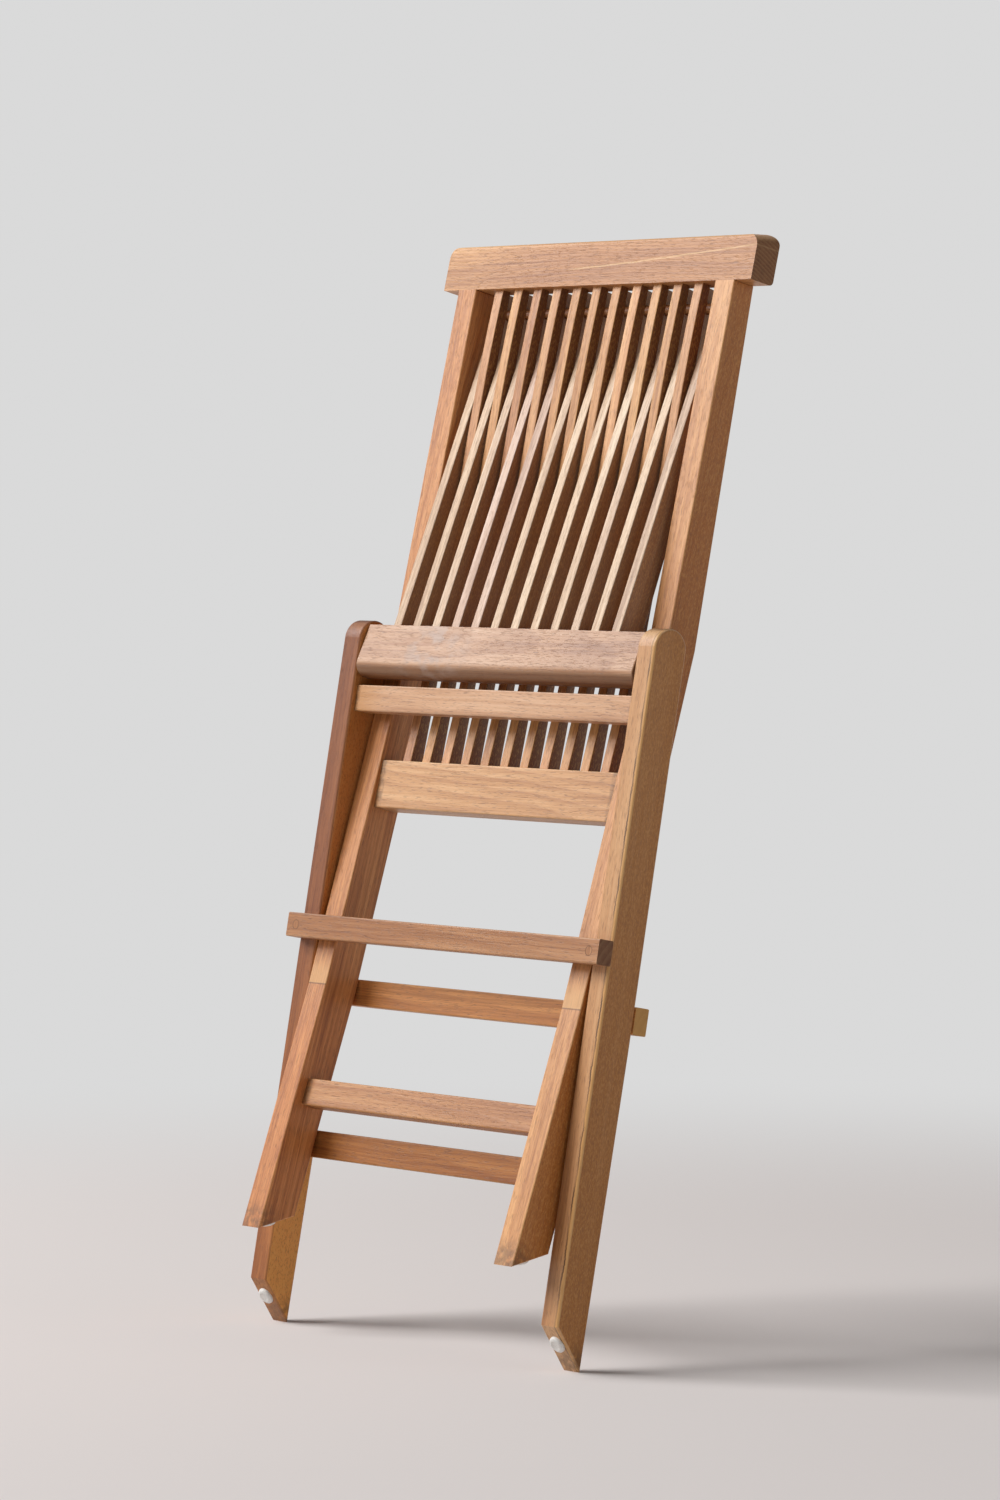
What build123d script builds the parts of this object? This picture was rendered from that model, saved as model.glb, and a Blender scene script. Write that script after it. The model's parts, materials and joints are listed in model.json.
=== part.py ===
import os
from math import asin, atan2, cos, degrees, hypot, radians, sin, tan

from build123d import *

# Slatted folding chair in teak, modelled folded and leaning back on its outer feet.
# X runs across the chair, Y towards the back, Z up. Millimetres and degrees.

# Pose and travel
back_lean = 13.8  # stiles from the vertical, chair leaning folded
leg_fold_angle = 3.0  # outer legs forward of the stiles, folded
open_travel = 68.4  # swing of the outer legs from folded to open
back_recline = 24.0  # stiles from the vertical, chair open
seat_slope = 4.3  # fall of the open seat towards its back

# Slats
back_slat_count = 11
back_slat_width = 12.4
seat_slat_width = 11.6
slat_side_gap = 2.95  # between a back slat and the seat slat beside it
seat_edge_gap = 8.75  # between an end seat slat and the stile
seat_slat_front_depth = 29.5
seat_slat_rear_depth = 19.0
slat_tenon_length = 14.0
slat_shoulder = 2.2  # step from a slat's side to its tenon
slat_edge_round = 1.0
slat_end_round = 5.0

# Back frame
stile_thickness = 27.8
stile_depth = 40.0  # at the pivot and below
stile_bend_depth = 36.5
stile_top_depth = 26.0
back_height = 689.0  # leg pivot to the underside of the crest rail
bend_height = 331.0  # leg pivot up to the bend of the stile
bend_angle = 3.87
foot_bend_drop = 29.0  # leg pivot down to the lower bend
foot_bend_angle = 5.87
pivot_height = 235.2  # leg pivot above the floor, chair open
crest_height = 44.8  # at the front
crest_depth = 29.0
crest_rise = 6.6  # top of the rail, its rear above its front
crest_overhang = 23.0  # past each stile
crest_corner = 12.0
crest_top_round = 9.5  # rear edge of the top
crest_lower_round = 4.5  # rear edge of the underside
crest_front_round = 3.6
crest_tenon_length = 22.0
lower_rail_height = 48.5
lower_rail_depth = 27.0
lower_rail_advance = 5.8  # ahead of the upper stiles' front face
inner_stretcher_drop = 125.0  # leg pivot down to its top edge
inner_stretcher_height = 27.0
inner_stretcher_thickness = 19.0

# Front of a back slat, behind the upper stiles' front face, at drops below the crest rail
slat_top_setback = 6.0
slat_swell_drop = 105.0
slat_swell_setback = 4.1
slat_turn_drop = 165.0
slat_turn_setback = 5.0
slat_hollow_drop = 300.0
slat_hollow_setback = 6.8
slat_foot_setback = 0.4
back_slat_rear = 16.4  # flat rear face behind the same front face

# Outer leg frame
leg_gap = 2.6  # between a stile and its outer leg
leg_thickness = 25.8
leg_depth = 40.0
leg_foot_depth = 36.0  # at the cut end
leg_taper_drop = 60.0  # leg pivot down to the start of the taper
leg_edge_round = 2.8
seat_arm = 321.4  # leg pivot up to the seat pivot
top_bar_drop = 47.0  # seat pivot down to the bar's top edge
top_bar_height = 26.4
top_bar_thickness = 18.0
top_bar_setback = 5.6  # behind the legs' front face
front_bar_rise = 15.6  # leg pivot up to the bar's lower edge
front_bar_height = 24.2
front_bar_thickness = 17.6
rear_bar_drop = 17.4  # leg pivot down to the bar's upper edge
rear_bar_height = 26.4
rear_bar_thickness = 16.5
bar_overhang = 0.6  # past each outer leg
rear_stretcher_drop = 172.0  # leg pivot down to its top edge
rear_stretcher_height = 27.0
rear_stretcher_thickness = 17.0
rear_stretcher_setback = 17.0

# Seat
seat_top = 14.0  # slat tops above the seat pivot
rail_rear = 12.0  # seat pivot back to the rear of the front rail
rail_nose = 40.0  # seat pivot forward to the tip of the nose
rail_crown = 16.6  # top of the nose above the seat pivot
rail_bottom = 14.0  # underside of the rail below the seat pivot
rail_nose_round = 13.5
rail_end_gap = 1.0  # between the rail's end and the outer leg
rear_rod_diameter = 11.0
rear_rod_depth = 9.5  # rod's axis below the slat tops
rear_rod_end = 19.7  # slat past the rod's axis
rear_rod_overhang = 3.0  # rod past the end slats
slat_rest_gap = 0.5  # open seat above the lower back rail
rod_rest_gap = 1.2  # rod behind the back slats, chair open
seat_fold_lap = 3.5  # folded seat's top ahead of the crest rail's rear edge

# Joints and fasteners
tenon_length = 16.0
tenon_shoulder = 4.5
joint_gap = 0.1  # glue line round a tenon
tenon_end_gap = 1.0
pin_diameter = 8.0
pin_depth = 18.0  # pin inside each piece of wood
pin_running_gap = 0.05
pin_fixed_gap = 0.02
washer_diameter = 20.0
washer_gap = 0.3  # each side of the washer
screw_diameter = 5.0
screw_depth = 24.0  # screw inside the leg
screw_head_diameter = 9.0
screw_head_height = 4.0
plug_diameter = 10.0
plug_height = 6.0
glide_diameter = 18.0
glide_set = 21.0  # front edge of the cut foot to the middle of the glide
glide_height = 4.0
glide_round = 1.8
glide_nail_diameter = 2.4
glide_nail_length = 14.0
edge_round = 1.5

# Widths, from the slat pattern outwards
slat_pitch = back_slat_width + seat_slat_width + 2 * slat_side_gap
seat_slat_count = back_slat_count + 1
seat_slat_span = (seat_slat_count - 1) * slat_pitch + seat_slat_width
stile_inner = seat_slat_span / 2 + seat_edge_gap
stile_outer = stile_inner + stile_thickness
leg_inner = stile_outer + leg_gap
leg_outer = leg_inner + leg_thickness
stile_middle = stile_inner + stile_thickness / 2
leg_middle = leg_inner + leg_thickness / 2
crest_half = stile_outer + crest_overhang
bar_half = leg_outer + bar_overhang
rail_half = leg_inner - rail_end_gap
back_slat_places = [(i - (back_slat_count - 1) / 2) * slat_pitch for i in range(back_slat_count)]
seat_slat_places = [(i - (seat_slat_count - 1) / 2) * slat_pitch for i in range(seat_slat_count)]

# Angles of the open chair
leg_open = leg_fold_angle + open_travel  # outer legs from the stiles
leg_slant = leg_open - back_recline  # outer legs from the vertical
seat_open = 90 - back_recline + seat_slope  # seat from the stiles
leg_lean = back_lean - leg_fold_angle  # outer legs from the vertical, folded

# Stile outline, across and along the upper stile from the leg pivot
stile_front = -stile_depth / 2
back_front = stile_front + bend_height * tan(radians(bend_angle))
foot_bend_front = stile_front - foot_bend_drop * tan(radians(bend_angle))
recline_sin = sin(radians(back_recline))
recline_cos = cos(radians(back_recline))
foot_slope = tan(radians(foot_bend_angle))


def foot_point(bend_x):
    # where the leg line from the lower bend meets the floor of the open chair
    along = -pivot_height + recline_sin * (bend_x + foot_bend_drop * foot_slope)
    y = along / (recline_cos - foot_slope * recline_sin)
    return (bend_x + (y + foot_bend_drop) * foot_slope, y)


foot_front = foot_point(foot_bend_front)
foot_rear = foot_point(foot_bend_front + stile_depth)

# Outer leg outline, across and along the leg from the leg pivot
slant_sin = sin(radians(leg_slant))
slant_cos = cos(radians(leg_slant))
leg_foot_front = -(pivot_height - slant_sin * leg_depth / 2) / slant_cos
leg_tip = leg_foot_depth - leg_depth / 2
leg_foot_rear = -(pivot_height + slant_sin * leg_tip) / slant_cos

# Folded seat: its top passes just behind the crest rail's lower rear edge
crest_edge_x = back_front + crest_depth + seat_arm * sin(radians(leg_fold_angle))
crest_edge_y = back_height - seat_arm * cos(radians(leg_fold_angle))
crest_edge_reach = hypot(crest_edge_x, crest_edge_y)
crest_edge_angle = degrees(atan2(crest_edge_x, crest_edge_y))
seat_fold_angle = crest_edge_angle + degrees(asin((seat_top - seat_fold_lap) / crest_edge_reach))

# Rear rod: behind the back slats when the seat is open
open_sin = sin(radians(seat_open))
open_cos = cos(radians(seat_open))
rod_height = seat_top - rear_rod_depth
rod_open_x = back_front + back_slat_rear + rod_rest_gap + rear_rod_diameter / 2
seat_pivot_open_x = -seat_arm * sin(radians(leg_open))
seat_pivot_open_y = seat_arm * cos(radians(leg_open))
rod_reach = (rod_open_x - seat_pivot_open_x + rod_height * open_cos) / open_sin
slat_end = rod_reach + rear_rod_end

# Lower back rail: its front top edge carries the open seat slats
lower_rail_front = back_front - lower_rail_advance
slat_taper = (seat_slat_front_depth - seat_slat_rear_depth) / (slat_end - rail_rear)
under_at_pivot = seat_top - seat_slat_front_depth - slat_taper * rail_rear
rest_span = lower_rail_front - seat_pivot_open_x + under_at_pivot * open_cos
rest_reach = rest_span / (open_sin - slat_taper * open_cos)
rest_under = under_at_pivot + slat_taper * rest_reach
lower_rail_top = seat_pivot_open_y + rest_reach * open_cos + rest_under * open_sin - slat_rest_gap
back_slat_length = back_height - lower_rail_top

# Leg pivot and seat pivot in the chair's own frame: outer feet on the floor, depth centred
lean_sin = sin(radians(back_lean))
lean_cos = cos(radians(back_lean))
seat_lean = radians(back_lean + seat_fold_angle)
leg_lean_sin = sin(radians(leg_lean))
leg_lean_cos = cos(radians(leg_lean))
front_reach = foot_front[0] * lean_cos + foot_front[1] * lean_sin
slat_rear_under = seat_slat_rear_depth - seat_top
rear_x = slat_rear_under - slat_end_round
rear_y = slat_end - slat_end_round
slat_rear_reach = rear_y * sin(seat_lean) + rear_x * cos(seat_lean) + slat_end_round
rear_reach = seat_arm * leg_lean_sin + slat_rear_reach
pivot_y = -(front_reach + rear_reach) / 2
pivot_z = leg_tip * leg_lean_sin - leg_foot_rear * leg_lean_cos
leg_pivot = Vector(0, pivot_y, pivot_z)
seat_pivot = leg_pivot + Vector(0, seat_arm * leg_lean_sin, seat_arm * leg_lean_cos)
print("leg pivot", leg_pivot)
print("seat pivot", seat_pivot)
print("seat turn per leg turn", -(open_travel + seat_open - seat_fold_angle) / open_travel)
print("lower rail under the crest rail", lower_rail_top - back_height)


def side_plane(origin, lean):
    # sketch x towards the back, sketch y up along the piece, normal across the chair
    return Plane(origin=origin, x_dir=(0, cos(radians(lean)), -sin(radians(lean))), z_dir=(1, 0, 0))


def front_plane(side, x, y):
    # facing forward at one place of a side plane, sketch x across the chair
    return Plane(origin=side.from_local_coords(Vector(x, y, 0)), x_dir=(1, 0, 0), z_dir=side.x_dir * -1)


def rear_plane(side, x, y):
    # facing back at one place of a side plane
    return Plane(origin=side.from_local_coords(Vector(x, y, 0)), x_dir=(1, 0, 0), z_dir=side.x_dir)


def end_plane(side, x, y):
    # across a side plane at one place: sketch x across the chair, sketch y towards the back
    return Plane(origin=side.from_local_coords(Vector(x, y, 0)), x_dir=(1, 0, 0), z_dir=side.y_dir)


back_side = side_plane(leg_pivot, back_lean)
leg_side = side_plane(leg_pivot, leg_lean)
seat_side = side_plane(seat_pivot, back_lean + seat_fold_angle)
foot_middle = foot_bend_front + stile_depth / 2
foot_side = side_plane(
    back_side.from_local_coords(Vector(foot_middle, -foot_bend_drop, 0)), back_lean + foot_bend_angle
)

os.makedirs("parts", exist_ok=True)


def save(piece, name):
    piece.part.label = name
    export_step(piece.part, f"parts/{name}.step")


# Places and sections of the cross pieces: centre, then depth and height
lower_rail_place = (lower_rail_front + lower_rail_depth / 2, lower_rail_top - lower_rail_height / 2)
inner_stretcher_place = (0, foot_bend_drop - inner_stretcher_drop - inner_stretcher_height / 2)
top_bar_place = (
    top_bar_setback + (top_bar_thickness - leg_depth) / 2,
    seat_arm - top_bar_drop - top_bar_height / 2,
)
rear_stretcher_place = (
    rear_stretcher_setback + (rear_stretcher_thickness - leg_depth) / 2,
    -rear_stretcher_drop - rear_stretcher_height / 2,
)
slat_middle_top = back_front + (slat_top_setback + back_slat_rear) / 2
slat_middle_foot = back_front + (slat_foot_setback + back_slat_rear) / 2
back_tenon_width = back_slat_width - 2 * slat_shoulder
back_tenon_top_depth = back_slat_rear - slat_top_setback - 2 * slat_shoulder
back_tenon_foot_depth = back_slat_rear - slat_foot_setback - 2 * slat_shoulder
seat_tenon_width = seat_slat_width - 2 * slat_shoulder
seat_tenon_depth = seat_top + rail_bottom - 4 * slat_shoulder
seat_tenon_middle = (rail_bottom - seat_top) / 2
crest_tenon_width = stile_thickness - 2 * tenon_shoulder
crest_tenon_depth = stile_top_depth - 2 * tenon_shoulder
crest_tenon_middle = back_front + stile_top_depth / 2

front_bar_middle = front_bar_rise + front_bar_height / 2
rear_bar_middle = -rear_bar_drop - rear_bar_height / 2

# Cut ends of the feet, level with the floor when the chair is open
foot_x = foot_front[0] + glide_set * recline_cos
foot_y = foot_front[1] + glide_set * recline_sin
foot_face = Plane(
    origin=back_side.from_local_coords(Vector(foot_x, foot_y, stile_middle)),
    x_dir=(1, 0, 0),
    z_dir=side_plane(leg_pivot, back_lean - back_recline).y_dir * -1,
)
leg_foot_x = glide_set * slant_cos - leg_depth / 2
leg_foot_y = leg_foot_front - glide_set * slant_sin
leg_foot_face = Plane(
    origin=leg_side.from_local_coords(Vector(leg_foot_x, leg_foot_y, leg_middle)),
    x_dir=(1, 0, 0),
    z_dir=side_plane(leg_pivot, leg_lean + leg_slant).y_dir * -1,
)

# Right stile: one plank from the crest rail down to the front foot, bent twice
with BuildPart() as right_stile:
    with BuildSketch(back_side.offset(stile_inner)):
        with BuildLine():
            Polyline(
                (back_front, back_height),
                (back_front, bend_height),
                (foot_bend_front, -foot_bend_drop),
                foot_front,
                foot_rear,
                (foot_bend_front + stile_depth, -foot_bend_drop),
                (back_front + stile_bend_depth, bend_height),
                (back_front + stile_top_depth, back_height),
                close=True,
            )
        make_face()
    extrude(amount=stile_thickness)
    fillet(right_stile.faces().filter_by(Axis.X).edges(), edge_round)
    # tenon up into the crest rail
    with BuildSketch(end_plane(back_side, crest_tenon_middle, back_height - edge_round)):
        with Locations((stile_middle, 0)):
            Rectangle(crest_tenon_width, crest_tenon_depth)
    extrude(amount=crest_tenon_length + edge_round)
    # mortises for the lower back rail and the stretcher
    with BuildSketch(back_side.offset(stile_inner)):
        with Locations(lower_rail_place):
            Rectangle(
                lower_rail_depth - 2 * tenon_shoulder + 2 * joint_gap,
                lower_rail_height - 2 * tenon_shoulder + 2 * joint_gap,
            )
    extrude(amount=tenon_length + tenon_end_gap, mode=Mode.SUBTRACT)
    with BuildSketch(foot_side.offset(stile_inner)):
        with Locations(inner_stretcher_place):
            Rectangle(
                inner_stretcher_thickness - 2 * tenon_shoulder + 2 * joint_gap,
                inner_stretcher_height - 2 * tenon_shoulder + 2 * joint_gap,
            )
    extrude(amount=tenon_length + tenon_end_gap, mode=Mode.SUBTRACT)
    # blind hole for the leg pin, from the outer face
    with BuildSketch(back_side.offset(stile_outer)):
        Circle(pin_diameter / 2 + pin_fixed_gap)
    extrude(amount=-pin_depth, mode=Mode.SUBTRACT)
    # nail hole of the foot glide
    with BuildSketch(foot_face):
        Circle(glide_nail_diameter / 2 + pin_fixed_gap)
    extrude(amount=-glide_nail_length - tenon_end_gap, mode=Mode.SUBTRACT)
save(right_stile, "right_stile")

with BuildPart() as left_stile:
    mirror(right_stile.part, about=Plane.YZ)
save(left_stile, "left_stile")

# Crest rail: flat front, a top that rises to the rear, rounded rear edges and rounded top corners
crest_slope = degrees(atan2(crest_rise, crest_depth))
crest_top_front = back_side.from_local_coords(Vector(back_front, back_height + crest_height, 0))
crest_top_side = side_plane(crest_top_front, back_lean - crest_slope)
with BuildPart() as crest_rail:
    with BuildSketch(back_side):
        with BuildLine():
            Polyline(
                (back_front, back_height),
                (back_front + crest_depth, back_height),
                (back_front + crest_depth, back_height + crest_height + crest_rise),
                (back_front, back_height + crest_height),
                close=True,
            )
        make_face()
        fillet(vertices().group_by(Axis.X)[-1].sort_by(Axis.Y)[0], crest_lower_round)
        fillet(vertices().sort_by(Axis.Y)[-1], crest_top_round)
        fillet(vertices().group_by(Axis.X)[0].sort_by(Axis.Y)[-1], crest_front_round)
    extrude(amount=crest_half, both=True)
    with BuildSketch(front_plane(crest_top_side, 0, -crest_height)):
        Rectangle(2 * crest_half, 2 * crest_height)
        fillet(vertices().group_by(Axis.Y)[-1], crest_corner)
    extrude(amount=2 * crest_depth, both=True, mode=Mode.INTERSECT)
    # mortises for the stiles and the back slats
    with BuildSketch(end_plane(back_side, crest_tenon_middle, back_height)):
        with Locations((stile_middle, 0), (-stile_middle, 0)):
            Rectangle(crest_tenon_width + 2 * joint_gap, crest_tenon_depth + 2 * joint_gap)
    extrude(amount=crest_tenon_length + tenon_end_gap, mode=Mode.SUBTRACT)
    with BuildSketch(end_plane(back_side, slat_middle_top, back_height)):
        with Locations([(place, 0) for place in back_slat_places]):
            Rectangle(back_tenon_width + 2 * joint_gap, back_tenon_top_depth + 2 * joint_gap)
    extrude(amount=slat_tenon_length + tenon_end_gap, mode=Mode.SUBTRACT)
save(crest_rail, "crest_rail")

# Lower back rail: a deep board between the stiles, under the back slats
with BuildPart() as lower_back_rail:
    with BuildSketch(back_side):
        with Locations(lower_rail_place):
            Rectangle(lower_rail_depth, lower_rail_height)
            fillet(vertices(), edge_round)
    extrude(amount=stile_inner, both=True)
    with BuildSketch(back_side):
        with Locations(lower_rail_place):
            Rectangle(lower_rail_depth - 2 * tenon_shoulder, lower_rail_height - 2 * tenon_shoulder)
    extrude(amount=stile_inner + tenon_length, both=True)
    with BuildSketch(end_plane(back_side, slat_middle_foot, lower_rail_top)):
        with Locations([(place, 0) for place in back_slat_places]):
            Rectangle(back_tenon_width + 2 * joint_gap, back_tenon_foot_depth + 2 * joint_gap)
    extrude(amount=-slat_tenon_length - tenon_end_gap, mode=Mode.SUBTRACT)
save(lower_back_rail, "lower_back_rail")

# Stretcher between the front feet
with BuildPart() as inner_stretcher:
    with BuildSketch(foot_side):
        with Locations(inner_stretcher_place):
            Rectangle(inner_stretcher_thickness, inner_stretcher_height)
            fillet(vertices(), edge_round)
    extrude(amount=stile_inner, both=True)
    with BuildSketch(foot_side):
        with Locations(inner_stretcher_place):
            Rectangle(
                inner_stretcher_thickness - 2 * tenon_shoulder,
                inner_stretcher_height - 2 * tenon_shoulder,
            )
    extrude(amount=stile_inner + tenon_length, both=True)
save(inner_stretcher, "inner_stretcher")

# Back slats: contoured front, flat rear, a tenon at each end
with BuildPart() as back_slat:
    with BuildSketch(back_side.offset(-back_slat_width / 2)):
        with BuildLine():
            Spline(
                (back_front + slat_top_setback, back_height),
                (back_front + slat_swell_setback, back_height - slat_swell_drop),
                (back_front + slat_turn_setback, back_height - slat_turn_drop),
                (back_front + slat_hollow_setback, back_height - slat_hollow_drop),
                (back_front + slat_foot_setback, lower_rail_top),
            )
            Polyline(
                (back_front + slat_foot_setback, lower_rail_top),
                (back_front + back_slat_rear, lower_rail_top),
                (back_front + back_slat_rear, back_height),
                (back_front + slat_top_setback, back_height),
            )
        make_face()
    extrude(amount=back_slat_width)
    long_edges = back_slat.faces().filter_by(Axis.X).edges().sort_by(SortBy.LENGTH)[-4:]
    fillet(long_edges, slat_edge_round)
    with BuildSketch(end_plane(back_side, slat_middle_top, back_height)):
        Rectangle(back_tenon_width, back_tenon_top_depth)
    extrude(amount=slat_tenon_length)
    with BuildSketch(end_plane(back_side, slat_middle_foot, lower_rail_top)):
        Rectangle(back_tenon_width, back_tenon_foot_depth)
    extrude(amount=-slat_tenon_length)

for number, place in enumerate(back_slat_places, start=1):
    with BuildPart() as placed_slat:
        with Locations((place, 0, 0)):
            add(back_slat.part)
    save(placed_slat, f"back_slat_{number:02d}")

# Leg pins: fixed in the stiles, turning in the outer legs, with a washer in the gap
with BuildPart() as right_leg_pin:
    with BuildSketch(back_side.offset(stile_outer - pin_depth)):
        Circle(pin_diameter / 2)
    extrude(amount=2 * pin_depth + leg_gap)
save(right_leg_pin, "right_leg_pin")

with BuildPart() as left_leg_pin:
    mirror(right_leg_pin.part, about=Plane.YZ)
save(left_leg_pin, "left_leg_pin")

with BuildPart() as right_leg_washer:
    with BuildSketch(back_side.offset(stile_outer + washer_gap)):
        Circle(washer_diameter / 2)
        Circle(pin_diameter / 2 + pin_fixed_gap, mode=Mode.SUBTRACT)
    extrude(amount=leg_gap - 2 * washer_gap)
save(right_leg_washer, "right_leg_washer")

with BuildPart() as left_leg_washer:
    mirror(right_leg_washer.part, about=Plane.YZ)
save(left_leg_washer, "left_leg_washer")

# Glides nailed to the cut ends of the front feet
with BuildPart() as inner_foot_glides:
    with BuildSketch(foot_face):
        Circle(glide_diameter / 2)
    extrude(amount=glide_height)
    glide_bottom = inner_foot_glides.faces().sort_by(Axis(foot_face.origin, foot_face.z_dir))[-1]
    fillet(glide_bottom.edges(), glide_round)
    with BuildSketch(foot_face):
        Circle(glide_nail_diameter / 2)
    extrude(amount=-glide_nail_length)
    mirror(about=Plane.YZ)
save(inner_foot_glides, "inner_foot_glides")

# Right outer leg: round head, slight taper behind, foot cut level for the open chair
with BuildPart() as right_outer_leg:
    with BuildSketch(leg_side.offset(leg_inner)):
        with BuildLine():
            Polyline(
                (-leg_depth / 2, seat_arm),
                (-leg_depth / 2, leg_foot_front),
                (leg_tip, leg_foot_rear),
                (leg_depth / 2, -leg_taper_drop),
                (leg_depth / 2, seat_arm),
            )
            ThreePointArc(
                (leg_depth / 2, seat_arm),
                (0, seat_arm + leg_depth / 2),
                (-leg_depth / 2, seat_arm),
            )
        make_face()
    extrude(amount=leg_thickness)
    fillet(right_outer_leg.faces().filter_by(Axis.X).edges(), leg_edge_round)
    # mortises for the top bar and the rear stretcher
    with BuildSketch(leg_side.offset(leg_inner)):
        with Locations(top_bar_place):
            Rectangle(
                top_bar_thickness - 2 * tenon_shoulder + 2 * joint_gap,
                top_bar_height - 2 * tenon_shoulder + 2 * joint_gap,
            )
        with Locations(rear_stretcher_place):
            Rectangle(
                rear_stretcher_thickness - 2 * tenon_shoulder + 2 * joint_gap,
                rear_stretcher_height - 2 * tenon_shoulder + 2 * joint_gap,
            )
    extrude(amount=tenon_length + tenon_end_gap, mode=Mode.SUBTRACT)
    # blind running holes for the leg pin and the seat pin
    with BuildSketch(leg_side.offset(leg_inner)):
        with Locations((0, 0), (0, seat_arm)):
            Circle(pin_diameter / 2 + pin_running_gap)
    extrude(amount=pin_depth + tenon_end_gap, mode=Mode.SUBTRACT)
    # pilot holes of the bar screws and the nail hole of the glide
    with BuildSketch(front_plane(leg_side, -leg_depth / 2, front_bar_middle)):
        with Locations((leg_middle, 0)):
            Circle(screw_diameter / 2 + pin_fixed_gap)
    extrude(amount=-screw_depth - tenon_end_gap, mode=Mode.SUBTRACT)
    with BuildSketch(rear_plane(leg_side, leg_depth / 2, rear_bar_middle)):
        with Locations((leg_middle, 0)):
            Circle(screw_diameter / 2 + pin_fixed_gap)
    extrude(amount=-screw_depth - tenon_end_gap, mode=Mode.SUBTRACT)
    with BuildSketch(leg_foot_face):
        Circle(glide_nail_diameter / 2 + pin_fixed_gap)
    extrude(amount=-glide_nail_length - tenon_end_gap, mode=Mode.SUBTRACT)
save(right_outer_leg, "right_outer_leg")

with BuildPart() as left_outer_leg:
    mirror(right_outer_leg.part, about=Plane.YZ)
save(left_outer_leg, "left_outer_leg")

# Top bar, just below the seat's front rail
with BuildPart() as top_bar:
    with BuildSketch(leg_side):
        with Locations(top_bar_place):
            Rectangle(top_bar_thickness, top_bar_height)
            fillet(vertices(), edge_round)
    extrude(amount=leg_inner, both=True)
    with BuildSketch(leg_side):
        with Locations(top_bar_place):
            Rectangle(top_bar_thickness - 2 * tenon_shoulder, top_bar_height - 2 * tenon_shoulder)
    extrude(amount=leg_inner + tenon_length, both=True)
save(top_bar, "top_bar")

# Stretcher between the rear feet
with BuildPart() as rear_stretcher:
    with BuildSketch(leg_side):
        with Locations(rear_stretcher_place):
            Rectangle(rear_stretcher_thickness, rear_stretcher_height)
            fillet(vertices(), edge_round)
    extrude(amount=leg_inner, both=True)
    with BuildSketch(leg_side):
        with Locations(rear_stretcher_place):
            Rectangle(
                rear_stretcher_thickness - 2 * tenon_shoulder,
                rear_stretcher_height - 2 * tenon_shoulder,
            )
    extrude(amount=leg_inner + tenon_length, both=True)
save(rear_stretcher, "rear_stretcher")

# Front bar across the fronts of the outer legs: it stops the fold against the stiles
front_bar_face = front_plane(leg_side, -leg_depth / 2 - front_bar_thickness, front_bar_middle)
with BuildPart() as front_bar:
    with BuildSketch(leg_side):
        with Locations((-(leg_depth + front_bar_thickness) / 2, front_bar_middle)):
            Rectangle(front_bar_thickness, front_bar_height)
            fillet(vertices(), edge_round)
    extrude(amount=bar_half, both=True)
    with BuildSketch(front_bar_face):
        with Locations((leg_middle, 0), (-leg_middle, 0)):
            Circle(plug_diameter / 2 + pin_fixed_gap)
    extrude(amount=-plug_height - screw_head_height, mode=Mode.SUBTRACT)
    with BuildSketch(front_bar_face):
        with Locations((leg_middle, 0), (-leg_middle, 0)):
            Circle(screw_diameter / 2 + pin_fixed_gap)
    extrude(amount=-front_bar_thickness, mode=Mode.SUBTRACT)
save(front_bar, "front_bar")

# Rear bar across the rears of the outer legs
rear_bar_face = rear_plane(leg_side, leg_depth / 2 + rear_bar_thickness, rear_bar_middle)
with BuildPart() as rear_bar:
    with BuildSketch(leg_side):
        with Locations(((leg_depth + rear_bar_thickness) / 2, rear_bar_middle)):
            Rectangle(rear_bar_thickness, rear_bar_height)
            fillet(vertices(), edge_round)
    extrude(amount=bar_half, both=True)
    with BuildSketch(rear_bar_face):
        with Locations((leg_middle, 0), (-leg_middle, 0)):
            Circle(plug_diameter / 2 + pin_fixed_gap)
    extrude(amount=-plug_height - screw_head_height, mode=Mode.SUBTRACT)
    with BuildSketch(rear_bar_face):
        with Locations((leg_middle, 0), (-leg_middle, 0)):
            Circle(screw_diameter / 2 + pin_fixed_gap)
    extrude(amount=-rear_bar_thickness, mode=Mode.SUBTRACT)
save(rear_bar, "rear_bar")

# Screws through each bar into the legs, and the wooden plugs over their heads
bars = [("front_bar", front_bar_face, front_bar_thickness), ("rear_bar", rear_bar_face, rear_bar_thickness)]
for bar_name, bar_face, bar_thickness in bars:
    with BuildPart() as bar_screws:
        with BuildSketch(bar_face.offset(-plug_height)):
            with Locations((leg_middle, 0), (-leg_middle, 0)):
                Circle(screw_head_diameter / 2)
        extrude(amount=-screw_head_height)
        with BuildSketch(bar_face.offset(-plug_height)):
            with Locations((leg_middle, 0), (-leg_middle, 0)):
                Circle(screw_diameter / 2)
        extrude(amount=plug_height - bar_thickness - screw_depth)
    save(bar_screws, f"{bar_name}_screws")
    with BuildPart() as bar_plugs:
        with BuildSketch(bar_face):
            with Locations((leg_middle, 0), (-leg_middle, 0)):
                Circle(plug_diameter / 2)
        extrude(amount=-plug_height)
    save(bar_plugs, f"{bar_name}_plugs")

# Glides nailed to the cut ends of the rear feet
with BuildPart() as outer_foot_glides:
    with BuildSketch(leg_foot_face):
        Circle(glide_diameter / 2)
    extrude(amount=glide_height)
    glide_bottom = outer_foot_glides.faces().sort_by(Axis(leg_foot_face.origin, leg_foot_face.z_dir))[-1]
    fillet(glide_bottom.edges(), glide_round)
    with BuildSketch(leg_foot_face):
        Circle(glide_nail_diameter / 2)
    extrude(amount=-glide_nail_length)
    mirror(about=Plane.YZ)
save(outer_foot_glides, "outer_foot_glides")

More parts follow.
